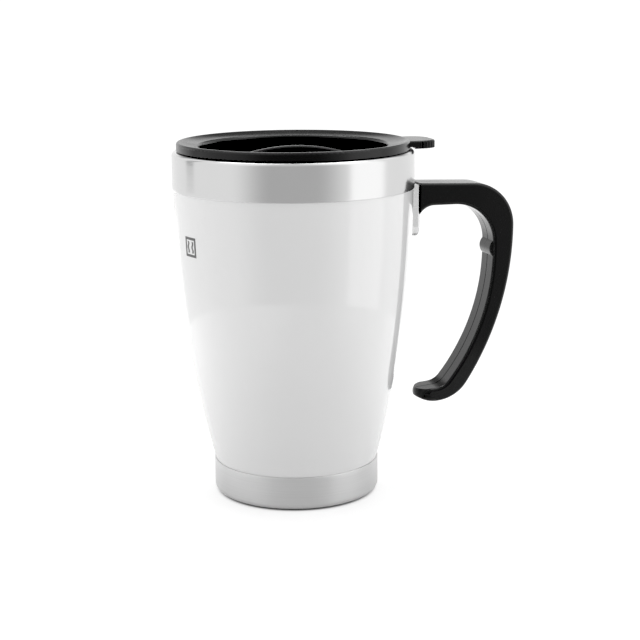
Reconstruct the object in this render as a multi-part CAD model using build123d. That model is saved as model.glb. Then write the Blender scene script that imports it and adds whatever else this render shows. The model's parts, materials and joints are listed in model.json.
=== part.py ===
from build123d import *
from math import cos, radians, sin, sqrt
import os

# Insulated travel mug: a foam-filled steel mug with a plastic hook handle on a steel rail and a
# press-in lid that carries a turning drink closure. Millimetres, +Z up. The origin is the centre
# of the underside, where the mug stands, and the handle points along +X.

# ---- driving dimensions -------------------------------------------------------------------------
band_radius = 45.0            # polished collar at the mouth, the widest round part
band_bottom = 116.4
lip_top = 130.2               # crown of the collar, on which the lid rests
band_wall = 0.8
lip_round = 1.5
lip_inner_radius = 41.5

shell_top_radius = 44.68      # lacquered shell just under the collar
shell_base_radius = 31.0      # lacquered shell just above the base cup
shell_wall = 0.6
shell_neck_radius = 44.1      # both ends of the shell are drawn in to fit their neighbours
shell_neck_top = 123.5
shell_tail_radius = 30.6
shell_tail_bottom = 6.0

base_radius = 31.4
base_top = 13.05
base_wall = 0.7
base_clear = 0.5              # the steel stands this far off the table, the pad touches it
base_corner = 2.2

cup_bore = 41.0               # straight mouth of the inner cup
cup_wall = 0.5
cup_straight_from = 112.0
cup_floor = 9.5
cup_flange_top = 129.35

fit_gap = 0.05                # between parts that are glued, pressed or clamped together
move_gap = 0.3                # between parts that move past each other

lid_radius = 43.2
lid_crest = 133.65
lid_seat_gap = 0.05
lid_skirt_radius = 40.0
lid_skirt_bottom = 118.5
lid_wall = 2.2
dish_edge_radius = 36.1
dish_edge_z = 132.3
dish_radius = 34.6
flange_mid = (39.6, 132.95)
flange_round = 0.9
dish_floor = 124.4
tab_tip = 54.0
tab_width = 19.5
tab_thick = 2.9
tab_top = 132.8
tab_root = 36.0
tab_corner = 7.0
tab_step_radius = 45.4        # inside this the tab's underside steps up over the collar
grip_groove_radius = 0.6
grip_groove_pitch = 1.45

closure_radius = 34.1
closure_thick = 1.7
closure_open_angle = 50.0
fin_top = 131.8
fin_arc_radius = 70.0
fin_thick = 2.6
stem_radius = 4.0
sip_radius = 23.5             # centre line of the drink hole
sip_width = 8.0
sip_half_angle = 14.0
vent_hole_radius = 1.6

handle_width = 13.5
handle_foot_x = 47.75
handle_foot_z = 104.7
handle_wall = 1.9
handle_round = 1.2
arm_top = 116.5
arm_fall = 0.75               # the arm's top falls this much towards its corner
arm_corner_x = 69.45
arm_under = 107.85
corner_radius = 16.9
corner_sweep = 88.0
grip_radius = 110.5
grip_sweep = 33.5
tip_radius = 15.45
tip_sweep = 87.5
crook_from = (53.5, 62.0)     # the level part of the arm's underside
crook_radius = 15.5
crook_drop = 3.35
palm_radius = 80.0
palm_sweep = 38.76
inner_tip_radius = 7.2
inner_tip_sweep = 46.0
inner_tip_flat = 7.6
nose_centre_x = 54.75         # the free tip is rounded by a wheel that lies flat
nose_centre_z = 33.7
nose_radius = 7.25
nose_round = 3.2
nose_top = 50.0
seam_width = 0.4
seam_depth = 0.3
ridge_radius = 4.2            # finger ridge across the inner face of the grip
ridge_x = 80.4
ridge_z = 89.9
rail_width = 12.0
rail_bottom = 95.2
rail_top = 116.0
rail_face_x = 47.65
tongue_end = 67.0
tongue_width = 5.0
tongue_bottom = 109.4
tongue_top = 114.0
rail_screw_heights = (99.0, 106.6)
rail_screw_radius = 1.5
handle_screw_radius = 1.4

# ---- values that follow -------------------------------------------------------------------------
arc_depth = shell_top_radius - shell_base_radius
arc_height = band_bottom - base_top
wall_radius = (arc_height ** 2 + arc_depth ** 2) / (2 * arc_depth)
wall_centre = shell_top_radius - wall_radius
foam_inset = shell_wall + fit_gap
cup_inner_inset = wall_centre + wall_radius - cup_bore
cup_outer_inset = cup_inner_inset - cup_wall
closure_bottom = dish_floor + move_gap
closure_top = closure_bottom + closure_thick
lid_under = lip_top + lid_seat_gap
floor_under = dish_floor - lid_wall


def wall_r(z, inset=0.0):
    """Radius of the bulged side wall at a height, moved inwards by inset along its normal."""
    return wall_centre + sqrt((wall_radius - inset) ** 2 - (z - band_bottom) ** 2)


def wall_curve(z_from, z_to, inset=0.0):
    z_mid = (z_from + z_to) / 2
    points = [(wall_r(z, inset), z) for z in (z_from, z_mid, z_to)]
    return ThreePointArc(*points)


def turn(*edges):
    """Solid of revolution about Z from the closed outline (radius, height)."""
    return revolve(Plane.XZ * make_face(Curve() + list(edges)), Axis.Z)


def turn_points(*points):
    return turn(Polyline(*points, close=True))


def ring(outer, inner, bottom, top):
    tube = Cylinder(outer, top - bottom) - Cylinder(inner, top - bottom)
    return Pos(0, 0, (bottom + top) / 2) * tube


def disc(radius, bottom, top):
    return Pos(0, 0, (bottom + top) / 2) * Cylinder(radius, top - bottom)


def block(x_from, x_to, width, z_from, z_to):
    size = (x_to - x_from, width, z_to - z_from)
    return Pos((x_from + x_to) / 2, 0, (z_from + z_to) / 2) * Box(*size)


def edges_at(solid, z, tolerance=0.01):
    circles = solid.edges().filter_by(GeomType.CIRCLE)
    return [edge for edge in circles if abs(edge.center().Z - z) < tolerance]


# ---- mug ----------------------------------------------------------------------------------------
def outer_shell():
    """Lacquered steel sleeve, drawn in at both ends."""
    joggle = 0.4
    top = band_bottom - fit_gap - joggle
    bottom = base_top + fit_gap + joggle
    neck_in = shell_neck_radius - shell_wall
    tail_in = shell_tail_radius - shell_wall
    shell = turn(
        Line((shell_tail_radius, shell_tail_bottom), (shell_tail_radius, bottom - joggle)),
        Line((shell_tail_radius, bottom - joggle), (wall_r(bottom), bottom)),
        wall_curve(bottom, top),
        Line((wall_r(top), top), (shell_neck_radius, top + joggle)),
        Line((shell_neck_radius, top + joggle), (shell_neck_radius, shell_neck_top)),
        Line((shell_neck_radius, shell_neck_top), (neck_in, shell_neck_top)),
        Line((neck_in, shell_neck_top), (neck_in, top)),
        Line((neck_in, top), (wall_r(top - joggle, shell_wall), top - joggle)),
        wall_curve(top - joggle, bottom + joggle, shell_wall),
        Line((wall_r(bottom + joggle, shell_wall), bottom + joggle), (tail_in, bottom)),
        Line((tail_in, bottom), (tail_in, shell_tail_bottom)),
        Line((tail_in, shell_tail_bottom), (shell_tail_radius, shell_tail_bottom)),
    )
    for z in rail_screw_heights:
        shell -= radial_pin(rail_screw_radius + 0.1, wall_r(z) - 3, wall_r(z) + 2, z)
    return shell


def radial_pin(radius, x_from, x_to, z):
    """Cylinder lying along +X at a height."""
    return Pos((x_from + x_to) / 2, 0, z) * Rot(0, 90, 0) * Cylinder(radius, x_to - x_from)


def rim_band():
    """Polished steel collar with a rolled crown."""
    inner = band_radius - band_wall
    crown_in = lip_inner_radius + 0.6
    under = lip_top - band_wall
    lower_round = 0.35
    return turn(
        Line((inner, band_bottom), (band_radius - lower_round, band_bottom)),
        JernArc((band_radius - lower_round, band_bottom), (1, 0), lower_round, 90),
        Line((band_radius, band_bottom + lower_round), (band_radius, lip_top - lip_round)),
        JernArc((band_radius, lip_top - lip_round), (0, 1), lip_round, 90),
        Line((band_radius - lip_round, lip_top), (crown_in, lip_top)),
        JernArc((crown_in, lip_top), (-1, 0), 0.6, 90),
        Line((lip_inner_radius, lip_top - 0.6), (lip_inner_radius, under)),
        Line((lip_inner_radius, under), (inner - 0.7, under)),
        JernArc((inner - 0.7, under), (1, 0), 0.7, -90),
        Line((inner, under - 0.7), (inner, band_bottom)),
    )


def cup_solid(inset, floor, corner, bore):
    """Filled shape of one face of the inner cup: tapered wall, round bottom corner, straight mouth."""
    solid = turn(
        Line((0, floor), (wall_r(floor, inset), floor)),
        wall_curve(floor, cup_straight_from, inset),
        Line((wall_r(cup_straight_from, inset), cup_straight_from), (bore, cup_straight_from)),
        Line((bore, cup_straight_from), (bore, lip_top)),
        Line((bore, lip_top), (0, lip_top)),
        Line((0, lip_top), (0, floor)),
    )
    return fillet(edges_at(solid, floor), corner)


def inner_cup():
    """Drawn stainless cup with a flange that is clamped under the collar's crown."""
    inner = cup_solid(cup_inner_inset, cup_floor, 7.5, cup_bore)
    outer = cup_solid(cup_outer_inset, cup_floor - cup_wall, 8.0, cup_bore + cup_wall)
    flange_under = cup_flange_top - cup_wall
    cup = outer - inner - disc(band_radius + 1, flange_under, lip_top + 1)
    flange = ring(band_radius - band_wall - 0.75, cup_bore, flange_under, cup_flange_top)
    return cup + flange


def collar_gasket():
    """Rubber ring that closes the foam space between the shell, the cup and the collar."""
    outer = band_radius - band_wall - fit_gap
    return ring(outer, cup_bore + cup_wall + fit_gap, shell_neck_top + fit_gap, shell_neck_top + 1.8)


def insulation_sleeve():
    """Foam between the shell and the inner cup, with a pocket for the backing plate and screws."""
    top = shell_neck_top - 1.5
    bottom = cup_floor - 0.6
    shoulder = band_bottom - 1.6
    foot = base_top + 1.6
    neck = shell_neck_radius - shell_wall - fit_gap
    tail = shell_tail_radius - shell_wall - fit_gap
    outside = turn(
        Line((0, bottom), (tail, bottom)),
        Line((tail, bottom), (tail, base_top + 0.6)),
        Line((tail, base_top + 0.6), (wall_r(foot, foam_inset), foot)),
        wall_curve(foot, shoulder, foam_inset),
        Line((wall_r(shoulder, foam_inset), shoulder), (neck, band_bottom - 0.8)),
        Line((neck, band_bottom - 0.8), (neck, top)),
        Line((neck, top), (0, top)),
        Line((0, top), (0, bottom)),
    )
    bore = cup_bore + cup_wall + fit_gap
    cup = cup_solid(cup_outer_inset - fit_gap, cup_floor - cup_wall - fit_gap, 8.0, bore)
    pocket = plate_shape(0.2, 0.15)
    foam = outside - cup - pocket
    for z in rail_screw_heights:
        foam -= radial_pin(rail_screw_radius + 0.3, wall_r(z) - 2.9, wall_r(z) + 2, z)
    return foam


def insulation_disc():
    """Foam puck under the inner cup."""
    return disc(27.8, 2.2 + fit_gap, cup_floor - 0.6 - fit_gap)


def base_cup():
    """Brushed steel base cup with a stepped floor that takes the pad."""
    inner = base_radius - base_wall
    low = base_clear
    step_out = 27.6
    step_in = 27.0
    pad_seat = 1.5
    return turn(
        Line((0, pad_seat), (step_in, pad_seat)),
        Line((step_in, pad_seat), (step_out, low)),
        Line((step_out, low), (base_radius - base_corner, low)),
        JernArc((base_radius - base_corner, low), (1, 0), base_corner, 90),
        Line((base_radius, low + base_corner), (base_radius, base_top - 0.2)),
        JernArc((base_radius, base_top - 0.2), (0, 1), 0.2, 90),
        Line((base_radius - 0.2, base_top), (inner, base_top)),
        Line((inner, base_top), (inner, low + base_corner)),
        JernArc((inner, low + base_corner), (0, -1), base_corner - base_wall, -90),
        Line((base_radius - base_corner, low + base_wall), (step_out + 0.4, low + base_wall)),
        Line((step_out + 0.4, low + base_wall), (step_in + 0.4, pad_seat + base_wall)),
        Line((step_in + 0.4, pad_seat + base_wall), (0, pad_seat + base_wall)),
        Line((0, pad_seat + base_wall), (0, pad_seat)),
    )


def base_gasket():
    """Rubber ring under the shell's lower edge, inside the base cup."""
    return ring(base_radius - base_wall - fit_gap, 28.2, 4.2, shell_tail_bottom - fit_gap)


def foot_pad():
    """Non-slip pad with ring grooves in its tread."""
    pad = disc(26.4, 0, 1.45)
    for radius in (12.0, 16.0, 20.0, 24.0):
        pad -= ring(radius + 0.5, radius - 0.5, -0.1, 0.5)
    return pad


# ---- handle mounting ----------------------------------------------------------------------------
def plate_shape(grow, deepen):
    """Curved plate that lies against the inside of the shell behind the rail."""
    outside = turn_wall(foam_inset - deepen)
    inside = turn_wall(foam_inset + 1.2 + deepen)
    window = block(30, 50, rail_width + 2 + 2 * grow, 95.5 - grow, 110.0 + grow)
    return (outside - inside) & window


def turn_wall(inset):
    """Filled bulged body between two heights, moved in by inset."""
    low, high = 90.0, 114.0
    return turn(
        Line((0, low), (wall_r(low, inset), low)),
        wall_curve(low, high, inset),
        Line((wall_r(high, inset), high), (0, high)),
        Line((0, high), (0, low)),
    )


def bracket_backing_plate():
    plate = plate_shape(0, 0)
    for z in rail_screw_heights:
        plate -= radial_pin(rail_screw_radius + 0.02, wall_r(z) - 4, wall_r(z) + 2, z)
    return plate


def handle_bracket():
    """Steel rail on the shell with the tongue that the handle closes over."""
    end_radius = rail_width / 2
    outline = Rectangle(rail_width, rail_top - rail_bottom)
    outline = fillet(outline.vertices().sort_by(Axis.Y)[:2], end_radius - 0.6)
    rail = extrude(Plane.YZ * Pos(0, (rail_top + rail_bottom) / 2) * outline, rail_face_x)
    outer_edges = rail.faces().sort_by(Axis.X)[-1].edges()
    rail = fillet(outer_edges, 0.7)
    rail -= body_cutter(fit_gap)
    tongue = block(rail_face_x - 1, tongue_end, tongue_width, tongue_bottom, tongue_top)
    tongue = fillet(tongue.faces().sort_by(Axis.X)[-1].edges().filter_by(Axis.Y), 1.2)
    bracket = rail + tongue
    for x in tongue_screws():
        bracket -= Pos(x, 0, (tongue_top + tongue_bottom) / 2) * Rot(90, 0, 0) * Cylinder(1.6, 20)
    for z in rail_screw_heights:
        bracket -= radial_pin(rail_screw_radius + 0.1, 40, 50, z)
        bracket -= screw_head(z, 0.05)
    return bracket


def body_cutter(gap):
    low, high = 88.0, band_bottom
    return turn(
        Line((0, low), (wall_r(low) + gap, low)),
        ThreePointArc(*[(wall_r(z) + gap, z) for z in (low, (low + high) / 2, high)]),
        Line((wall_r(high) + gap, high), (wall_r(high) + gap, high + 3)),
        Line((wall_r(high) + gap, high + 3), (0, high + 3)),
        Line((0, high + 3), (0, low)),
    )


def screw_head(z, grow):
    """Countersunk head, flush with the rail's face."""
    head = Cone(rail_screw_radius + grow, 2.7 + grow, 1.4)
    return Pos(rail_face_x - 0.7, 0, z) * Rot(0, 90, 0) * head


def bracket_screws():
    """Two countersunk screws through rail, shell and backing plate."""
    screws = []
    for z in rail_screw_heights:
        shank = radial_pin(rail_screw_radius, wall_r(z) - 2.6, rail_face_x - 1.3, z)
        recess = Box(1.6, 0.6, 3.0) + Box(1.6, 3.0, 0.6)
        screws.append(shank + screw_head(z, 0) - Pos(rail_face_x, 0, z) * recess)
    return Compound(children=screws)


def tongue_screws():
    return (tongue_end - 14.5, tongue_end - 4.5)


def grip_screws():
    """Places of the two screws lower in the handle, as (x, z)."""
    return ((80.6, 80.0), (71.9, 52.0))


# ---- handle -------------------------------------------------------------------------------------
def handle_outline(inset=0.0):
    """Side view (x, z) of the hook handle: straight arm, bowed grip and free tip, all tangent."""
    arm_from = (handle_foot_x, arm_top - inset)
    under_z = arm_under + inset
    foot_low = (handle_foot_x, handle_foot_z + inset)
    arm = Line(arm_from, (arm_corner_x, arm_top - arm_fall - inset))
    corner = JernArc(arm @ 1, arm % 1, corner_radius - inset, -corner_sweep)
    grip = JernArc(corner @ 1, corner % 1, grip_radius - inset, -grip_sweep)
    tip = JernArc(grip @ 1, grip % 1, tip_radius - inset, -tip_sweep)
    under = Line((crook_from[0], under_z), (crook_from[1], under_z))
    crook = JernArc(under @ 1, under % 1, crook_radius + inset, -90)
    straight = Line(crook @ 1, crook @ 1 - (0, crook_drop))
    palm = JernArc(straight @ 1, straight % 1, palm_radius + inset, -palm_sweep)
    inner_tip = JernArc(palm @ 1, palm % 1, inner_tip_radius + inset, -inner_tip_sweep)
    flat = Line(inner_tip @ 1, inner_tip @ 1 + (inner_tip % 1) * inner_tip_flat)
    nose = TangentArc(tip @ 1, flat @ 1, tangent=tip % 1)
    flare = TangentArc(under @ 0, foot_low, tangent=(-1, 0))
    foot = Line(foot_low, arm_from)
    back = [arm, corner, grip, tip, nose]
    front = [flat, inner_tip, palm, straight, crook, under, flare, foot]
    return make_face(Curve() + back + front)


def seam_groove():
    """Shadow line round the joint of the two handle halves."""
    line = handle_outline() - handle_outline(seam_depth)
    groove = extrude(Plane.XZ * line, seam_width / 2, both=True)
    return groove & block(handle_foot_x + 1, 95, handle_width, 20, 125)


def handle_solid():
    """Whole handle with rounded rims and the finger ridge, before it is split and cored."""
    body = extrude(Plane.XZ * handle_outline(), handle_width / 2, both=True)
    rims = [e for e in body.edges() if abs(abs(e.center().Y) - handle_width / 2) < 0.01]
    rims = [e for e in rims if e.center().X > handle_foot_x + 0.01 or e.center().Z < nose_top]
    body = fillet(rims, handle_round)
    wheel = Cylinder(nose_radius, 2 * nose_round + 0.2)
    wheel = fillet(wheel.edges().filter_by(GeomType.CIRCLE), nose_round)
    wheel = Pos(nose_centre_x, 0, nose_centre_z) * wheel
    body -= block(40, nose_centre_x, handle_width + 1, 25, nose_top) - wheel
    ridge = Cylinder(ridge_radius, handle_width - 1.2)
    ridge = fillet(ridge.edges().filter_by(GeomType.CIRCLE), 1.0)
    return body + Pos(ridge_x, 0, ridge_z) * Rot(90, 0, 0) * ridge


def handle_cavity():
    """Cored-out inside of the grip, with the screw posts left standing."""
    grip_centre = (85.8 - grip_radius, 98.9)
    palm_centre = (77.5 - palm_radius, 89.0)
    core = side_pin(grip_radius - handle_wall, *grip_centre, handle_width - 2 * handle_wall)
    core -= side_pin(palm_radius + handle_wall, *palm_centre, handle_width)
    core &= block(60, 90, handle_width, 47.0, 94.0)
    for x, z in grip_screws():
        core -= side_pin(3.0, x, z, handle_width)
    return core


def side_pin(radius, x, z, length):
    """Cylinder lying along Y."""
    return Pos(x, 0, z) * Rot(90, 0, 0) * Cylinder(radius, length)


def screw_places():
    middle = (tongue_bottom + tongue_top) / 2
    return [(x, middle) for x in tongue_screws()] + list(grip_screws())


def handle_half(side):
    """One moulded half; side is -1 or 1 along Y. The +Y half takes the screw heads."""
    half = handle_solid()
    half -= block(40, tongue_end + 0.2, tongue_width + 0.2, tongue_bottom - 0.1, tongue_top + 0.1)
    half -= handle_cavity()
    half -= seam_groove()
    half &= Pos(60, side * (10 + fit_gap / 2), 75) * Box(90, 20, 110)
    for x, z in screw_places():
        if side > 0:
            half -= side_pin(handle_screw_radius + 0.1, x, z, handle_width + 2)
            half -= Pos(0, handle_width / 2 - 1.0, 0) * side_pin(2.5, x, z, 2.2)
        else:
            depth = handle_width / 2 - handle_wall
            half -= Pos(0, -depth / 2, 0) * side_pin(handle_screw_radius + 0.02, x, z, depth + 0.2)
    return half


def handle_screws():
    """Four pan-head screws that close the two handle halves from the +Y side."""
    screws = []
    tip = -(handle_width / 2 - handle_wall - 0.4)
    head_under = handle_width / 2 - 2.1
    for x, z in screw_places():
        length = head_under - tip
        shank = Pos(0, (head_under + tip) / 2, 0) * side_pin(handle_screw_radius, x, z, length)
        head = Pos(0, head_under + 0.7, 0) * side_pin(2.3, x, z, 1.4)
        cross = Pos(x, head_under + 1.4, z) * (Box(2.6, 1.2, 0.6) + Box(0.6, 1.2, 2.6))
        screws.append(shank + head - cross)
    return Compound(children=screws)


# ---- lid ----------------------------------------------------------------------------------------
def kidney(width, half_angle, centre_angle):
    """Curved slot on the drink-hole circle."""
    start = centre_angle - half_angle
    return SlotArc(CenterArc((0, 0), sip_radius, start, 2 * half_angle), width)


def lid_tab():
    """Thumb tab over the handle, with vertical grip grooves round its end."""
    length = tab_tip - tab_root
    plan = Rectangle(length, tab_width)
    plan = fillet(plan.vertices().sort_by(Axis.X)[-2:], tab_corner)
    tab = extrude(Plane.XY * Pos(tab_root + length / 2, 0) * plan, tab_thick)
    tab = fillet(tab.faces().sort_by(Axis.Z)[-1].edges(), 0.8)
    tab = Pos(0, 0, tab_top - tab_thick) * tab
    rim = offset(plan, amount=0.25).faces()[0].outer_wire()
    count = int(rim.length / grip_groove_pitch)
    for i in range(count):
        spot = rim.position_at(i / count)
        x = spot.X + tab_root + length / 2
        if x > lid_radius + 2.5:
            tab -= Pos(x, spot.Y, tab_top - tab_thick / 2) * Cylinder(grip_groove_radius, tab_thick + 1)
    tab -= disc(tab_step_radius, tab_top - tab_thick - 1, lid_under + move_gap)
    return tab - disc(dish_edge_radius + 3, tab_top - tab_thick - 1, tab_top + 1)


def lid_body():
    """Moulded lid: flange, sunken dish, plug skirt with a seal groove, ribs and thumb tab."""
    skirt_in = lid_skirt_radius - 2.2
    groove_bottom, groove_top, groove_depth = 123.2, 126.4, 1.1
    body = turn(
        Line((0, dish_floor), (dish_radius - 0.6, dish_floor)),
        JernArc((dish_radius - 0.6, dish_floor), (1, 0), 0.6, 90),
        Line((dish_radius, dish_floor + 0.6), (dish_radius + 0.35, dish_edge_z - 1.2)),
        ThreePointArc(
            (dish_radius + 0.35, dish_edge_z - 1.2),
            (dish_radius + 0.65, dish_edge_z - 0.35),
            (dish_edge_radius, dish_edge_z),
        ),
        ThreePointArc(
            (dish_edge_radius, dish_edge_z),
            flange_mid,
            (lid_radius - flange_round - 0.5, lid_crest),
        ),
        Line((lid_radius - flange_round - 0.5, lid_crest), (lid_radius - flange_round, lid_crest)),
        JernArc((lid_radius - flange_round, lid_crest), (1, 0), flange_round, -90),
        Line((lid_radius, lid_crest - flange_round), (lid_radius, lid_under + 0.5)),
        JernArc((lid_radius, lid_under + 0.5), (0, -1), 0.5, -90),
        Line((lid_radius - 0.5, lid_under), (lid_skirt_radius, lid_under)),
        Line((lid_skirt_radius, lid_under), (lid_skirt_radius, groove_top)),
        Line((lid_skirt_radius, groove_top), (lid_skirt_radius - groove_depth, groove_top)),
        Line((lid_skirt_radius - groove_depth, groove_top), (lid_skirt_radius - groove_depth, groove_bottom)),
        Line((lid_skirt_radius - groove_depth, groove_bottom), (lid_skirt_radius, groove_bottom)),
        Line((lid_skirt_radius, groove_bottom), (lid_skirt_radius - 0.5, lid_skirt_bottom)),
        Line((lid_skirt_radius - 0.5, lid_skirt_bottom), (skirt_in, lid_skirt_bottom)),
        Line((skirt_in, lid_skirt_bottom), (skirt_in, floor_under)),
        Line((skirt_in, floor_under), (0, floor_under)),
        Line((0, floor_under), (0, dish_floor)),
    )
    ribs = []
    for angle in range(30, 390, 60):
        rib = Pos(22.5, 0, floor_under - 1.0) * Box(31.0, 1.4, 2.4)
        ribs.append(Rot(0, 0, angle) * rib)
    sip_wall = extrude(Plane.XY * kidney(sip_width + 3.6, sip_half_angle, -90), -1.8)
    sip_wall = Pos(0, 0, floor_under) * sip_wall
    body = body + ribs + sip_wall
    body = body + ring(9.5, stem_radius + 0.25, floor_under - 0.2, floor_under + 0.1)
    body = body + lid_tab()
    body -= Pos(0, 0, 110) * extrude(Plane.XY * kidney(sip_width, sip_half_angle, -90), 20)
    body -= Pos(0, sip_radius, dish_floor) * Cylinder(vent_hole_radius, 12)
    body -= disc(stem_radius + 0.25, 110, 130)
    body -= ring(10.0, 4.0, floor_under - 5, floor_under - 0.2)
    seat = kidney(sip_width + 3.4, sip_half_angle, -90) - kidney(sip_width + 1.2, sip_half_angle, -90)
    body -= Pos(0, 0, dish_floor - 0.9) * extrude(Plane.XY * seat, 2)
    return body - stop_groove()


def stop_groove():
    """Arc groove in the dish floor; its ends stop the closure shut and open."""
    track = CenterArc((0, 0), 14.0, 40.0, closure_open_angle)
    return Pos(0, 0, dish_floor - 1.2) * extrude(Plane.XY * SlotArc(track, 3.6), 3)


def lid_seal():
    """Silicone ring with two lips, in the skirt's groove."""
    inner = lid_skirt_radius - 1.1 + fit_gap
    tip = cup_bore - 0.15
    root = lid_skirt_radius + 0.1
    return turn_points(
        (inner, 123.3), (root, 123.3), (root + 0.1, 123.5), (tip, 123.9), (tip, 124.1), (root, 124.5),
        (root, 124.9), (tip, 125.3), (tip, 125.5), (root + 0.1, 126.1), (root, 126.3), (inner, 126.3),
    )


def sip_seal():
    """Silicone ring let into the dish floor round the drink hole."""
    shape = kidney(sip_width + 3.3, sip_half_angle, -90) - kidney(sip_width + 1.3, sip_half_angle, -90)
    return Pos(0, 0, dish_floor - 0.85) * extrude(Plane.XY * shape, 0.95)


# ---- closure ------------------------------------------------------------------------------------
def closure_fin():
    """Arched finger grip across the closure."""
    centre_z = fin_top - fin_arc_radius
    half = sqrt(fin_arc_radius ** 2 - (closure_top - 0.3 - centre_z) ** 2)
    low = closure_top - 0.3
    outline = make_face(
        Curve() + [Line((-half, low), (half, low)), ThreePointArc((half, low), (0, fin_top), (-half, low))]
    )
    fin = extrude(Plane.XZ * outline, fin_thick / 2, both=True)
    crown = [e for e in fin.edges() if e.geom_type == GeomType.CIRCLE]
    return fillet(crown, 0.9)


def closure_disc():
    """Turning disc with the finger grip, stem, stop lug, drink slot and vent hole."""
    plate = disc(closure_radius, closure_bottom, closure_top)
    plate = fillet(edges_at(plate, closure_top), 0.6)
    plate += closure_fin()
    rest_angle = -90 - closure_open_angle
    slot = extrude(Plane.XY * kidney(sip_width, sip_half_angle, rest_angle), 4)
    plate -= Pos(0, 0, closure_bottom - 1) * slot
    vent_angle = radians(90 - closure_open_angle)
    vent_spot = (sip_radius * cos(vent_angle), sip_radius * sin(vent_angle), closure_bottom)
    plate -= Pos(*vent_spot) * Cylinder(vent_hole_radius, 6)
    stem = disc(stem_radius, floor_under - 3.0, closure_bottom)
    stem -= ring(stem_radius + 1, stem_radius - 0.8, 122.6, 124.0)
    lug_angle = radians(40)
    lug = Pos(14 * cos(lug_angle), 14 * sin(lug_angle), closure_bottom - 0.45) * Cylinder(1.5, 0.9)
    return plate + stem + lug


def pivot_o_ring():
    """O-ring in the stem's groove."""
    section = Pos(stem_radius - 0.25, 0) * Circle(0.42)
    return Pos(0, 0, 123.3) * revolve(Plane.XZ * section, Axis.Z)


def closure_retainer():
    """Push-on cap under the lid that holds the closure's stem."""
    top = floor_under - 0.2 - move_gap
    cap = disc(7.5, top - 2.8, top) - disc(stem_radius + fit_gap, floor_under - 3.0 - fit_gap, top + 1)
    return fillet(edges_at(cap, top - 2.8), 0.6)


def handle_half_near():
    return handle_half(-1)


def handle_half_far():
    return handle_half(1)


sub_parts = {
    "outer_shell": outer_shell,
    "rim_band": rim_band,
    "inner_cup": inner_cup,
    "collar_gasket": collar_gasket,
    "insulation_sleeve": insulation_sleeve,
    "insulation_disc": insulation_disc,
    "base_cup": base_cup,
    "base_gasket": base_gasket,
    "foot_pad": foot_pad,
    "handle_bracket": handle_bracket,
    "bracket_backing_plate": bracket_backing_plate,
    "bracket_screws": bracket_screws,
    "handle_half_near": handle_half_near,
    "handle_half_far": handle_half_far,
    "handle_screws": handle_screws,
    "lid_body": lid_body,
    "lid_seal": lid_seal,
    "sip_seal": sip_seal,
    "closure_disc": closure_disc,
    "closure_retainer": closure_retainer,
    "pivot_o_ring": pivot_o_ring,
}

os.makedirs("parts", exist_ok=True)
for node, make in sub_parts.items():
    export_step(make(), f"parts/{node}.step")
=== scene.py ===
import json
import math
import bmesh
import bpy
from mathutils import Matrix, Vector


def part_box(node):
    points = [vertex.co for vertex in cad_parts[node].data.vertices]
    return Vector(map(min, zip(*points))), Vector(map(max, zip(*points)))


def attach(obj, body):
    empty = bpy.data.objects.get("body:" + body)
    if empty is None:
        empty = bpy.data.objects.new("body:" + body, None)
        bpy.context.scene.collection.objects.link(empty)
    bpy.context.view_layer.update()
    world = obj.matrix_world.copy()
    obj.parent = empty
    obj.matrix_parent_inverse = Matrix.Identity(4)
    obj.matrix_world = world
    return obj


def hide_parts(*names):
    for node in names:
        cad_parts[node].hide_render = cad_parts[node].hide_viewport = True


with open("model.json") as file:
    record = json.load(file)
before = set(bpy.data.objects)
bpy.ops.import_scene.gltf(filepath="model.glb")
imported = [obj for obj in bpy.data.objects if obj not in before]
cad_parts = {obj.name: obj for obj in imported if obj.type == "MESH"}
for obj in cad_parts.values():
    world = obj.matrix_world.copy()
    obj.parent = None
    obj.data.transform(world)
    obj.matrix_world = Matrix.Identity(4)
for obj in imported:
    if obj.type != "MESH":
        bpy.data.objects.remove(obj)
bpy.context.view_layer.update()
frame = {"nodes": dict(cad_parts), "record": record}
millimetre = 0.001
scene = bpy.context.scene


# the camera stands in front of the mug, turned a little away from its handle
cameraSet = {
    "distance": 0.5568,   # metres from the mug's axis, level
    "height": 0.1887,
    "side": 14.0,         # degrees round the mug, away from the handle
    "aimPast": 0.978,     # degrees that the view points past the axis
    "tilt": 12.48,        # degrees down
    "roll": -0.4,
    "lens": 84.5,
}


def makeCamera(look):
    side = math.radians(look["side"])
    spot = Vector((-math.sin(side), -math.cos(side), 0)) * look["distance"]
    spot.z = look["height"]
    data = bpy.data.cameras.new("viewCamera")
    data.lens = look["lens"]
    data.clip_start = 0.01
    camera = bpy.data.objects.new("viewCamera", data)
    turn = Matrix.Rotation(-side - math.radians(look["aimPast"]), 4, "Z")
    tip = Matrix.Rotation(math.radians(90 - look["tilt"]), 4, "X")
    roll = Matrix.Rotation(math.radians(look["roll"]), 4, "Z")
    camera.matrix_world = Matrix.Translation(spot) @ turn @ tip @ roll
    scene.collection.objects.link(camera)
    scene.camera = camera


makeCamera(cameraSet)
print("camera placed")


# a socket that Python's operators can work on: each adds a Math node
class Signal:
    def __init__(self, tree, socket):
        self.tree = tree
        self.socket = socket

    def work(self, operation, first, second):
        node = self.tree.nodes.new("ShaderNodeMath")
        node.operation = operation
        plug(self.tree, first, node.inputs[0])
        plug(self.tree, second, node.inputs[1])
        return Signal(self.tree, node.outputs[0])

    def __add__(self, other):
        return self.work("ADD", self, other)

    def __radd__(self, other):
        return self.work("ADD", other, self)

    def __sub__(self, other):
        return self.work("SUBTRACT", self, other)

    def __rsub__(self, other):
        return self.work("SUBTRACT", other, self)

    def __mul__(self, other):
        return self.work("MULTIPLY", self, other)

    def __rmul__(self, other):
        return self.work("MULTIPLY", other, self)


def plug(tree, value, socket):
    if isinstance(value, Signal):
        tree.links.new(value.socket, socket)
    else:
        socket.default_value = value


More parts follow.
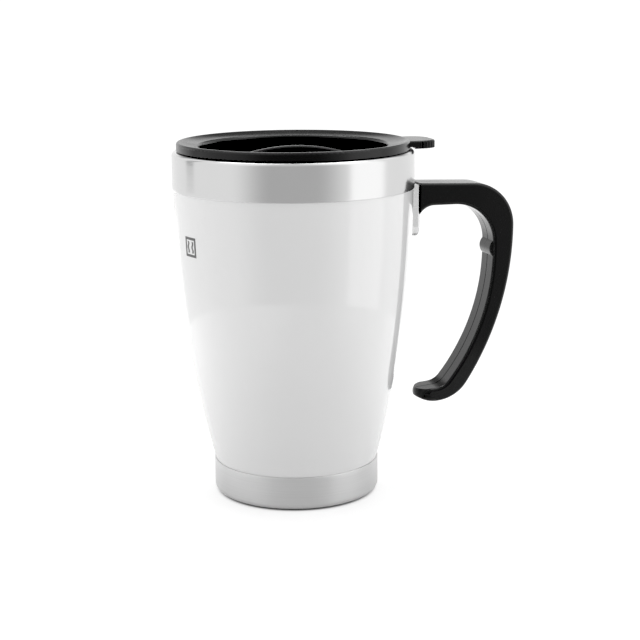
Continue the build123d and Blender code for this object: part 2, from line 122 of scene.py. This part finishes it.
class Shading:
    def __init__(self, tree):
        self.tree = tree
        self.tree.nodes.clear()

    def add(self, kind, settings, values, output=0):
        node = self.tree.nodes.new(kind)
        for name, setting in settings.items():
            setattr(node, name, setting)
        for name, value in values.items():
            plug(self.tree, value, node.inputs[name])
        return Signal(self.tree, node.outputs[output]) if node.outputs else node

    def place(self, scale=(1, 1, 1)):
        spot = self.add("ShaderNodeTexCoord", {}, {}, "Object")
        return self.add("ShaderNodeMapping", {}, {"Vector": spot, "Scale": scale})

    def axis(self, name):
        return self.add("ShaderNodeSeparateXYZ", {}, {"Vector": self.place()}, name)

    def noise(self, scale, detail=2.0, stretch=(1, 1, 1), rough=0.5):
        values = {"Vector": self.place(stretch), "Scale": scale, "Detail": detail, "Roughness": rough}
        return self.add("ShaderNodeTexNoise", {}, values, "Fac")

    def spread(self, value, low, high, start=0.0, end=1.0):
        values = {"Value": value, "From Min": low, "From Max": high, "To Min": start, "To Max": end}
        return self.add("ShaderNodeMapRange", {"interpolation_type": "SMOOTHSTEP"}, values)

    def vary(self, mask, ends):
        return self.spread(mask, 0.3, 0.7, *ends)  # a noise seldom leaves 0.3 to 0.7

    def scratches(self, scale, stretch=(1, 1, 1), width=0.02):
        values = {"Vector": self.place(stretch), "Scale": scale}
        cells = self.add("ShaderNodeTexVoronoi", {"feature": "DISTANCE_TO_EDGE"}, values, "Distance")
        patches = self.spread(self.noise(scale * 3, 3.0), 0.52, 0.66)  # only here and there
        return (1 - self.spread(cells, 0.0, width)) * patches

    def blendColours(self, factor, first, second):
        node = self.tree.nodes.new("ShaderNodeMix")
        node.data_type = "RGBA"
        for place, value in ((0, factor), (6, first), (7, second)):
            plug(self.tree, value, node.inputs[place])
        return Signal(self.tree, node.outputs[2])

    def greys(self, mask, ends):
        return self.blendColours(mask, grey(ends[0]), grey(ends[1]))

    def bump(self, height, strength, distance):
        values = {"Height": height, "Strength": strength, "Distance": distance}
        return self.add("ShaderNodeBump", {}, values)


def grey(level):
    return (level, level, level, 1.0)


def newFinish(name, build):
    material = bpy.data.materials.new(name)
    material.use_nodes = True
    s = Shading(material.node_tree)
    surface = s.add("ShaderNodeBsdfPrincipled", {}, build(s))
    s.add("ShaderNodeOutputMaterial", {}, {"Surface": surface})
    return material


# in each finish, scales are those of its noises and greys are linear
lacquer = {
    "greys": (0.815, 0.835),
    "roughness": (0.30, 0.36),
    "coatRoughness": 0.03,
    "coatIndex": 2.1,
    "peelScale": 420,
    "hazeScale": 26,
    "speckScale": 2200,
    "specks": (0.74, 0.80),
    "wornHeights": (0.020, 0.014),  # metres, rubbed where it meets the base cup
}


def whiteLacquer(s):
    peel = s.noise(lacquer["peelScale"], 1.5)
    haze = s.noise(lacquer["hazeScale"], 4.0)
    specks = s.spread(s.noise(lacquer["speckScale"], 1.0), *lacquer["specks"])
    worn = s.spread(s.axis("Z"), *lacquer["wornHeights"])
    return {
        "Base Color": s.greys(haze, lacquer["greys"]),
        "Roughness": s.vary(haze, lacquer["roughness"]) + worn * 0.08,
        "Normal": s.bump(peel, 0.015, 0.0002),
        "Specular IOR Level": 0.3,
        "Coat Weight": 1.0 - specks * 0.2 - worn * 0.15,
        "Coat Roughness": lacquer["coatRoughness"],
        "Coat IOR": lacquer["coatIndex"],
    }


polish = {
    "greys": (0.66, 0.70),
    "roughness": (0.10, 0.17),
    "lineScale": 70,
    "lineStretch": (1, 1, 45),
    "smudgeScale": 38,
    "hairScale": 70,
    "hairStretch": (1, 1, 3.0),
}


def polishedSteel(s):
    lines = s.noise(polish["lineScale"], 3.0, polish["lineStretch"])
    smudge = s.noise(polish["smudgeScale"], 5.0)
    hairs = s.scratches(polish["hairScale"], polish["hairStretch"])
    return {
        "Metallic": 1.0,
        "Base Color": s.greys(smudge, polish["greys"]),
        "Roughness": s.vary(smudge, polish["roughness"]) + lines * 0.03 + hairs * 0.1,
        "Normal": s.bump(lines + hairs * 0.5, 0.05, 0.0001),
    }


brush = {
    "greys": (0.66, 0.74),
    "roughness": (0.34, 0.40),
    "lineScale": 36,
    "lineStretch": (1, 1, 60),
    "smudgeScale": 30,
    "anisotropy": 0.85,
    "anisotropyTurn": 0.25,
}


def brushedSteel(s):
    lines = s.noise(brush["lineScale"], 3.0, brush["lineStretch"], 0.6)
    smudge = s.noise(brush["smudgeScale"], 2.0)
    return {
        "Metallic": 1.0,
        "Base Color": s.greys(lines, brush["greys"]),
        "Roughness": s.vary(smudge, brush["roughness"]),
        "Normal": s.bump(lines, 0.05, 0.0001),
        "Anisotropic": brush["anisotropy"],
        "Anisotropic Rotation": brush["anisotropyTurn"],
    }


satin = {
    "greys": (0.80, 0.86),
    "roughness": (0.20, 0.28),
    "lineScale": 70,
    "lineStretch": (1, 1, 30),
    "smudgeScale": 60,
}


def satinSteel(s):
    lines = s.noise(satin["lineScale"], 3.0, satin["lineStretch"])
    smudge = s.noise(satin["smudgeScale"], 4.0)
    return {
        "Metallic": 1.0,
        "Base Color": s.greys(smudge, satin["greys"]),
        "Roughness": s.vary(smudge, satin["roughness"]) + lines * 0.03,
        "Normal": s.bump(lines, 0.05, 0.0001),
    }


spun = {
    "greys": (0.74, 0.82),
    "roughness": (0.30, 0.38),
    "lineScale": 80,
    "lineStretch": (1, 1, 24),
    "stainScale": 30,
}


def spunSteel(s):
    lines = s.noise(spun["lineScale"], 4.0, spun["lineStretch"], 0.7)
    stain = s.noise(spun["stainScale"], 4.0)
    return {
        "Metallic": 1.0,
        "Base Color": s.greys(stain, spun["greys"]),
        "Roughness": s.vary(stain, spun["roughness"]) + lines * 0.05,
        "Normal": s.bump(lines, 0.12, 0.0001),
    }


plating = {"greys": (0.50, 0.62), "roughness": (0.24, 0.4), "grainScale": 900}


def platedScrew(s):
    grain = s.noise(plating["grainScale"], 4.0)
    return {
        "Metallic": 1.0,
        "Base Color": s.greys(grain, plating["greys"]),
        "Roughness": s.vary(grain, plating["roughness"]),
        "Normal": s.bump(grain, 0.1, 0.0001),
    }


plastic = {"greys": (0.002, 0.004), "shine": 0.52}
handleSkin = {"roughness": (0.13, 0.19), "grainScale": 1500, "rubScale": 55, "hairScale": 90}
lidSkin = {"roughness": (0.18, 0.25), "grainScale": 1300, "rubScale": 70}


def blackPlastic(s):
    grain = s.noise(handleSkin["grainScale"], 3.0)
    rub = s.noise(handleSkin["rubScale"], 5.0)
    hairs = s.scratches(handleSkin["hairScale"])
    return {
        "Base Color": s.greys(rub, plastic["greys"]),
        "Roughness": s.vary(rub, handleSkin["roughness"]) + hairs * 0.12,
        "Normal": s.bump(grain * 0.8 + hairs * 0.2, 0.05, 0.0001),
        "Specular IOR Level": plastic["shine"],
    }


def lidPlastic(s):
    grain = s.noise(lidSkin["grainScale"], 3.0)
    rub = s.noise(lidSkin["rubScale"], 5.0)
    return {
        "Base Color": s.greys(rub, plastic["greys"]),
        "Roughness": s.vary(rub, lidSkin["roughness"]),
        "Normal": s.bump(grain, 0.05, 0.0001),
        "Specular IOR Level": plastic["shine"],
    }


rubber = {"greys": (0.012, 0.028), "roughness": (0.6, 0.75), "grainScale": 1800, "dustScale": 120}


def softRubber(s):
    grain = s.noise(rubber["grainScale"], 3.0)
    dust = s.noise(rubber["dustScale"], 4.0)
    return {
        "Base Color": s.greys(dust, rubber["greys"]),
        "Roughness": s.vary(grain, rubber["roughness"]),
        "Normal": s.bump(grain, 0.2, 0.0002),
    }


silicone = {"greys": (0.045, 0.07), "roughness": (0.42, 0.55), "bloomScale": 140, "glowThrough": 0.1}


def greySilicone(s):
    bloom = s.noise(silicone["bloomScale"], 4.0)
    return {
        "Base Color": s.greys(bloom, silicone["greys"]),
        "Roughness": s.vary(bloom, silicone["roughness"]),
        "Normal": s.bump(bloom, 0.05, 0.0001),
        "Subsurface Weight": silicone["glowThrough"],
    }


foam = {
    "deep": (0.80, 0.76, 0.66, 1),
    "pale": (0.90, 0.87, 0.80, 1),
    "roughness": (0.8, 0.95),
    "cellScale": 700.0,
}


def foamFill(s):
    values = {"Vector": s.place(), "Scale": foam["cellScale"]}
    cells = s.add("ShaderNodeTexVoronoi", {}, values, "Distance")
    return {
        "Base Color": s.blendColours(cells, foam["deep"], foam["pale"]),
        "Roughness": s.spread(cells, 0.0, 1.0, *foam["roughness"]),
        "Normal": s.bump(cells, 0.4, 0.0004),
    }


ink = {"greys": (0.12, 0.17), "roughness": (0.35, 0.5), "wearScale": 900}


def greyPrint(s):
    wear = s.noise(ink["wearScale"], 3.0)
    return {
        "Base Color": s.greys(wear, ink["greys"]),
        "Roughness": s.vary(wear, ink["roughness"]),
        "Normal": s.bump(wear, 0.05, 0.0001),
    }


finishes = {
    "white_lacquer": newFinish("whiteLacquer", whiteLacquer),
    "polished_steel": newFinish("polishedSteel", polishedSteel),
    "inner_steel": newFinish("spunSteel", spunSteel),
    "brushed_steel": newFinish("brushedSteel", brushedSteel),
    "rail_steel": newFinish("railSteel", satinSteel),
    "screw_steel": newFinish("platedScrew", platedScrew),
    "handle_plastic": newFinish("handlePlastic", blackPlastic),
    "lid_plastic": newFinish("lidPlastic", lidPlastic),
    "seal_rubber": newFinish("softRubber", softRubber),
    "silicone": newFinish("greySilicone", greySilicone),
    "foam": newFinish("foamFill", foamFill),
}
for entry in frame["record"]["subparts"]:
    for place in frame["nodes"][entry["node"]].material_slots:
        place.material = finishes[entry["material_slot"]]
print("finishes made")


# draws a side view of a turned piece, in millimetres: x is the radius, z the height
class Pen:
    def __init__(self, bm, x, z):
        self.bm = bm
        self.vert = bm.verts.new((x, 0, z))
        self.heading = 0.0

    def extend(self, steps, **how):
        made = bmesh.ops.spin(self.bm, geom=[self.vert], steps=steps, **how)
        self.vert = [item for item in made["geom_last"] if isinstance(item, bmesh.types.BMVert)][0]

    def line(self, x, z, steps=1):
        step = (Vector((x, 0, z)) - self.vert.co) / steps
        self.heading = math.degrees(math.atan2(step.z, step.x))
        self.extend(steps, cent=(0, 0, 0), axis=(0, 1, 0), dvec=step, angle=0)

    def arc(self, radius, sweep, steps=6):
        side = math.radians(self.heading + math.copysign(90, sweep))
        centre = self.vert.co + Vector((math.cos(side), 0, math.sin(side))) * radius
        self.heading += sweep
        self.extend(steps, cent=centre, axis=(0, -1, 0), dvec=(0, 0, 0), angle=math.radians(sweep))


turning = {"steps": 192, "merge": 0.002, "sharpAngle": 35}  # merge in millimetres


def spinRound(bm):
    outline = bm.verts[:] + bm.edges[:]
    turn = {"cent": (0, 0, 0), "axis": (0, 0, 1), "angle": math.tau}
    bmesh.ops.spin(bm, geom=outline, steps=turning["steps"], use_merge=True, **turn)
    bmesh.ops.remove_doubles(bm, verts=bm.verts[:], dist=turning["merge"])


def finishPiece(name, bm, body, slot, replaced=(), material=None):
    bmesh.ops.scale(bm, vec=(millimetre,) * 3, verts=bm.verts[:])
    bmesh.ops.recalc_face_normals(bm, faces=bm.faces[:])
    mesh = bpy.data.meshes.new(name)
    bm.to_mesh(mesh)
    bm.free()
    mesh.shade_smooth()
    mesh.set_sharp_from_angle(angle=math.radians(turning["sharpAngle"]))
    mesh.materials.append(material or finishes[slot])
    piece = bpy.data.objects.new(name, mesh)
    scene.collection.objects.link(piece)
    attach(piece, body)
    if replaced:
        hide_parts(*replaced)


def cadHeights(node):
    low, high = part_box(node)
    return low.z / millimetre, high.z / millimetre


bandLow, bandHigh = cadHeights("rim_band")
baseLow, baseHigh = cadHeights("base_cup")
shellLow, shellHigh = cadHeights("outer_shell")
cupLow, cupHigh = cadHeights("inner_cup")

# the wall of the mug is one long arc, which is upright just under the collar
wall = {
    "topRadius": 44.68,
    "baseRadius": 31.0,
    "sheet": 0.6,
    "seam": 0.01,    # gap to the collar and to the base cup
    "joggle": 0.01,  # height of the step in to the neck or tail
    "steps": 40,
}
wallDrop = bandLow - baseHigh
wallFall = wall["topRadius"] - wall["baseRadius"]
wallArc = (wallDrop ** 2 + wallFall ** 2) / (2 * wallFall)
wallCentre = wall["topRadius"] - wallArc


def wallAngle(z, inset=0.0):
    return math.degrees(math.asin((z - bandLow) / (wallArc - inset)))


def wallRadius(z, inset=0.0):
    return wallCentre + math.sqrt((wallArc - inset) ** 2 - (z - bandLow) ** 2)


def climbWall(pen, z, inset=0.0, steps=wall["steps"]):
    start = wallAngle(pen.vert.co.z, inset)
    sweep = wallAngle(z, inset) - start
    pen.heading = start + math.copysign(90, sweep)
    pen.arc(wallArc - inset, sweep, steps)


shell = {"neckRadius": 44.1, "tailRadius": 30.6}


def makeShell(part):
    low = baseHigh + wall["seam"] + wall["joggle"]
    high = bandLow - wall["seam"] - wall["joggle"]
    sheet, joggle = wall["sheet"], wall["joggle"]
    bm = bmesh.new()
    pen = Pen(bm, part["tailRadius"], shellLow)
    pen.line(part["tailRadius"], low - joggle)
    pen.line(wallRadius(low), low)
    climbWall(pen, high)
    pen.line(part["neckRadius"], high + joggle)
    pen.line(part["neckRadius"], shellHigh)
    pen.line(part["neckRadius"] - sheet, shellHigh)
    pen.line(part["neckRadius"] - sheet, high)
    pen.line(wallRadius(high - joggle, sheet), high - joggle)
    climbWall(pen, low + joggle, sheet)
    pen.line(part["tailRadius"] - sheet, low)
    pen.line(part["tailRadius"] - sheet, shellLow)
    pen.line(part["tailRadius"], shellLow)
    spinRound(bm)
    finishPiece("outerShell", bm, "mug", "white_lacquer", ["outer_shell"])


collar = {
    "radius": 45.0,
    "sheet": 0.8,
    "crown": 1.5,      # rounds of the top, the lower edge and the mouth
    "lowerEdge": 0.2,
    "mouthEdge": 0.6,
    "mouth": 41.5,
}


def makeCollar(part):
    inner = part["radius"] - part["sheet"]
    fold = part["crown"] - part["sheet"]
    bm = bmesh.new()
    pen = Pen(bm, inner, bandLow)
    pen.line(part["radius"] - part["lowerEdge"], bandLow)
    pen.arc(part["lowerEdge"], 90, 5)
    pen.line(part["radius"], bandHigh - part["crown"], 8)
    pen.arc(part["crown"], 90, 12)
    pen.line(part["mouth"] + part["mouthEdge"], bandHigh)
    pen.arc(part["mouthEdge"], 90, 6)
    pen.line(part["mouth"], bandHigh - part["sheet"])
    pen.line(inner - fold, bandHigh - part["sheet"])
    pen.arc(fold, -90, 6)
    pen.line(inner, bandLow)
    spinRound(bm)
    finishPiece("rimBand", bm, "mug", "polished_steel", ["rim_band"])


base = {
    "radius": 31.4,
    "sheet": 0.7,
    "corner": 2.2,
    "topEdge": 0.2,
    "stepOut": 27.6,   # the underside steps up here, for the foot pad
    "stepIn": 27.0,
    "stepShift": 0.4,  # the same step, seen inside
    "seat": 1.0,
}


def makeBase(part):
    sheet, corner = part["sheet"], part["corner"]
    inner = part["radius"] - sheet
    bm = bmesh.new()
    pen = Pen(bm, 0, baseLow + part["seat"])
    pen.line(part["stepIn"], baseLow + part["seat"], 8)
    pen.line(part["stepOut"], baseLow)
    pen.line(part["radius"] - corner, baseLow)
    pen.arc(corner, 90, 12)
    pen.line(part["radius"], baseHigh - part["topEdge"], 6)
    pen.arc(part["topEdge"], 90, 4)
    pen.line(inner, baseHigh)
    pen.line(inner, baseLow + corner)
    pen.arc(corner - sheet, -90, 8)
    pen.line(part["stepOut"] + part["stepShift"], baseLow + sheet)
    pen.line(part["stepIn"] + part["stepShift"], baseLow + part["seat"] + sheet)
    pen.line(0, baseLow + part["seat"] + sheet, 8)
    spinRound(bm)
    finishPiece("baseCup", bm, "mug", "brushed_steel", ["base_cup"])


cup = {
    "bore": 41.0,
    "sheet": 0.5,
    "corner": 7.5,
    "outsideCorner": 6.5,   # height of the slope at the outside's foot
    "straightFrom": 112.0,
    "flangeRadius": 43.45,
    "lipRound": 0.4,
}


def floorCorner(inset, floor, corner):
    reach = wallArc - inset - corner
    rise = floor + corner - bandLow
    across = wallCentre + math.sqrt(reach ** 2 - rise ** 2)
    return across, 90 + math.degrees(math.asin(rise / reach))


def makeInnerCup(part):
    sheet, bore = part["sheet"], part["bore"]
    inset = wall["topRadius"] - bore
    insideX, insideSweep = floorCorner(inset, cupLow + sheet, part["corner"])
    outsideX = floorCorner(inset - sheet, cupLow, part["corner"] + sheet)[0]
    bm = bmesh.new()
    pen = Pen(bm, 0, cupLow + sheet)
    pen.line(insideX, cupLow + sheet, 10)
    pen.arc(part["corner"], insideSweep, 12)
    climbWall(pen, part["straightFrom"], inset)
    pen.line(bore, cupHigh - part["lipRound"], 6)
    pen.heading = 90
    pen.arc(part["lipRound"], -90, 4)
    pen.line(part["flangeRadius"], cupHigh)
    pen.line(part["flangeRadius"], cupHigh - sheet)
    pen.line(bore + sheet, cupHigh - sheet)
    pen.line(bore + sheet, part["straightFrom"], 6)
    climbWall(pen, cupLow + part["outsideCorner"], inset - sheet)
    pen.line(outsideX, cupLow, 6)
    pen.line(0, cupLow, 10)
    spinRound(bm)
    finishPiece("innerCup", bm, "mug", "inner_steel", ["inner_cup"])


makeShell(shell)
makeCollar(collar)
makeBase(base)
makeInnerCup(cup)
print("mug turned")

# a small printed mark: a square frame with two curls of steam, in millimetres and degrees
mark = {
    "azimuth": 198.8,
    "height": 98.0,
    "size": 7.2,
    "line": 0.95,
    "lift": 0.03,      # off the lacquer
    "cells": 14,       # of the flat grid, so that it can bend round the wall
    "curls": (-1.9, 0.9),
    "curlFoot": -2.1,
    "curlLean": 48,
    "curlBends": (84, -84, 84),
    "curlRadius": 1.05,
}


def layOnWall(bm, part):
    for vert in bm.verts:
        z = part["height"] + vert.co.z
        radius = wallRadius(z) + part["lift"] + vert.co.y
        angle = math.radians(part["azimuth"]) + vert.co.x / wallRadius(z)
        vert.co = Vector((math.cos(angle) * radius, math.sin(angle) * radius, z))


def makeMark(part):
    half = part["size"] / 2
    bm = bmesh.new()
    upright = Matrix.Rotation(math.radians(90), 4, "X")
    cells = part["cells"]
    bmesh.ops.create_grid(bm, x_segments=cells, y_segments=cells, size=half, matrix=upright)
    inner = half - part["line"]
    for normal in ((1, 0, 0), (-1, 0, 0), (0, 0, 1), (0, 0, -1)):
        cut = {"plane_co": Vector(normal) * inner, "plane_no": normal}
        bmesh.ops.bisect_plane(bm, geom=bm.verts[:] + bm.edges[:] + bm.faces[:], **cut)
    middles = [(face, face.calc_center_median()) for face in bm.faces]
    middle = [face for face, spot in middles if max(abs(spot.x), abs(spot.z)) < inner]
    bmesh.ops.delete(bm, geom=middle, context="FACES")
    for across in part["curls"]:
        pen = Pen(bm, across, part["curlFoot"])
        pen.heading = part["curlLean"]
        for sweep in part["curlBends"]:
            pen.arc(part["curlRadius"], sweep, 8)
        made = [edge for edge in bm.edges if not edge.link_faces]
        wide = bmesh.ops.extrude_edge_only(bm, edges=made)["geom"]
        moved = [item for item in wide if isinstance(item, bmesh.types.BMVert)]
        bmesh.ops.translate(bm, vec=(part["line"], 0, 0), verts=moved)
    bmesh.ops.remove_doubles(bm, verts=bm.verts[:], dist=turning["merge"])
    layOnWall(bm, part)
    finishPiece("printedMark", bm, "mug", "white_lacquer", material=newFinish("greyPrint", greyPrint))


makeMark(mark)
print("mark printed")


# a white light tent: its glow changes with the direction round the mug, in degrees from the camera,
# and with the height of that direction, from -1 straight down to 1 straight up
tent = {
    "back": 1.02,                   # glow behind and beside the mug
    "front": 0.57,                  # glow round the camera
    "frontEdge": (20, 62),
    "panel": 0.36,                  # a brighter panel on the handle side
    "panelEdges": (50, 58, 90, 98),
    "gap": 0.45,                    # a dim gap on the other side
    "gapEdges": (104, 109, 116, 121),
    "gapAbove": (-0.13, -0.10),
    "overhead": 0.2,
    "overheadAbove": (0.3, 0.8),
    "upperBack": 0.85,              # how much darker it is above the backdrop
    "upperBackAbove": (0.28, 0.42),
    "upperBackEdge": (130, 165),
    "sweep": 0.55,                  # extra glow low behind the mug
    "sweepBelow": (-0.14, -0.18),
    "sweepEdge": (142, 156),
    "topLight": 4.0,                # a softbox high behind the mug
    "topHeights": (0.78, 0.83, 0.95, 0.99),
    "topBehind": (-0.25, -0.35),
    "backdrop": 1.1,                # what the camera sees
}
floorSet = {
    "radius": 0.24,
    "segments": 96,
    "tone": 0.50,
    "fibreScale": 500,
    "frontGlow": 0.12,
    "backGlow": 0.5,
    "depths": (-0.12, 0.14),        # metres along Y, from front to back
    "sideGlow": 0.28,
    "sides": (0.03, 0.16),
    "seenGlow": 0.56,               # what the camera sees
    "paintedShadowEdge": (0.0288, 0.0312),   # painted contact shadow: no glow inside here; the glow starts here, just inside the base cup's edge
}


def bandOfAngles(s, angle, edges):
    return s.spread(angle, edges[0], edges[1]) * (1 - s.spread(angle, edges[2], edges[3]))


def makeTent(part):
    world = bpy.data.worlds.new("lightTent")
    scene.world = world
    world.use_nodes = True
    s = Shading(world.node_tree)
    seen = s.add("ShaderNodeLightPath", {}, {}, "Is Camera Ray")
    toward = s.add("ShaderNodeTexCoord", {}, {}, "Generated")
    spin = (0, 0, math.radians(cameraSet["side"]))
    toward = s.add("ShaderNodeMapping", {}, {"Vector": toward, "Rotation": spin})
    across = s.add("ShaderNodeSeparateXYZ", {}, {"Vector": toward}, "X")
    ahead = 0 - s.add("ShaderNodeSeparateXYZ", {}, {"Vector": toward}, "Y")
    height = s.add("ShaderNodeSeparateXYZ", {}, {"Vector": toward}, "Z")
    angle = s.add("ShaderNodeMath", {"operation": "ARCTAN2"}, {0: across, 1: ahead}) * math.degrees(1)
    away = s.add("ShaderNodeMath", {"operation": "ABSOLUTE"}, {0: angle})
    glow = s.spread(away, *part["frontEdge"], part["front"], part["back"])
    glow = glow + bandOfAngles(s, angle, part["panelEdges"]) * part["panel"]
    upper = s.spread(height, *part["gapAbove"])
    glow = glow - bandOfAngles(s, 0 - angle, part["gapEdges"]) * upper * part["gap"]
    glow = glow + s.spread(height, *part["overheadAbove"]) * part["overhead"]
    upper = s.spread(height, *part["upperBackAbove"])
    glow = glow - upper * s.spread(away, *part["upperBackEdge"]) * part["upperBack"]
    lower = s.spread(height, *part["sweepBelow"])
    glow = glow + lower * s.spread(away, *part["sweepEdge"]) * part["sweep"]
    behind = s.spread(ahead, *part["topBehind"])
    glow = glow + bandOfAngles(s, height, part["topHeights"]) * behind * part["topLight"]
    glow = glow * (1 - seen) + seen * part["backdrop"]
    light = s.add("ShaderNodeBackground", {}, {"Color": grey(1.0), "Strength": glow})
    s.add("ShaderNodeOutputWorld", {}, {"Surface": light})


def floorPaper(s):
    across, along = s.axis("X"), s.axis("Y")
    away = s.add("ShaderNodeMath", {"operation": "SQRT"}, {0: across * across + along * along})
    # the floor's glow fades out under the base cup's edge, leaving a painted contact shadow there
    lit = s.spread(away, *floorSet["paintedShadowEdge"])
    fibre = s.noise(floorSet["fibreScale"], 4.0)
    seen = s.add("ShaderNodeLightPath", {}, {}, "Is Camera Ray")
    glow = s.spread(along, *floorSet["depths"], floorSet["frontGlow"], floorSet["backGlow"])
    aside = s.add("ShaderNodeMath", {"operation": "ABSOLUTE"}, {0: across})
    glow = glow + s.spread(aside, *floorSet["sides"]) * floorSet["sideGlow"]
    glow = glow * (1 - seen) + seen * floorSet["seenGlow"]
    return {
        "Base Color": s.greys(fibre, (floorSet["tone"], floorSet["tone"] * 1.03)),
        "Roughness": 0.8,
        "Specular IOR Level": 0.1,
        "Emission Color": s.greys(lit * glow, (0.0, 1.0)),
        "Emission Strength": 1.0,
    }


def makeFloor(part):
    bm = bmesh.new()
    bmesh.ops.create_circle(bm, cap_ends=True, segments=part["segments"], radius=part["radius"])
    mesh = bpy.data.meshes.new("studioFloor")
    bm.to_mesh(mesh)
    bm.free()
    mesh.materials.append(newFinish("floorPaper", floorPaper))
    floor = bpy.data.objects.new("studioFloor", mesh)
    scene.collection.objects.link(floor)


blackPoint = 0.022  # deep blacks, as in a studio print
makeTent(tent)
makeFloor(floorSet)
scene.view_settings.view_transform = "Standard"
scene.view_settings.use_curve_mapping = True
scene.view_settings.curve_mapping.black_level = (blackPoint,) * 3
scene.view_settings.curve_mapping.update()
print("studio lit")
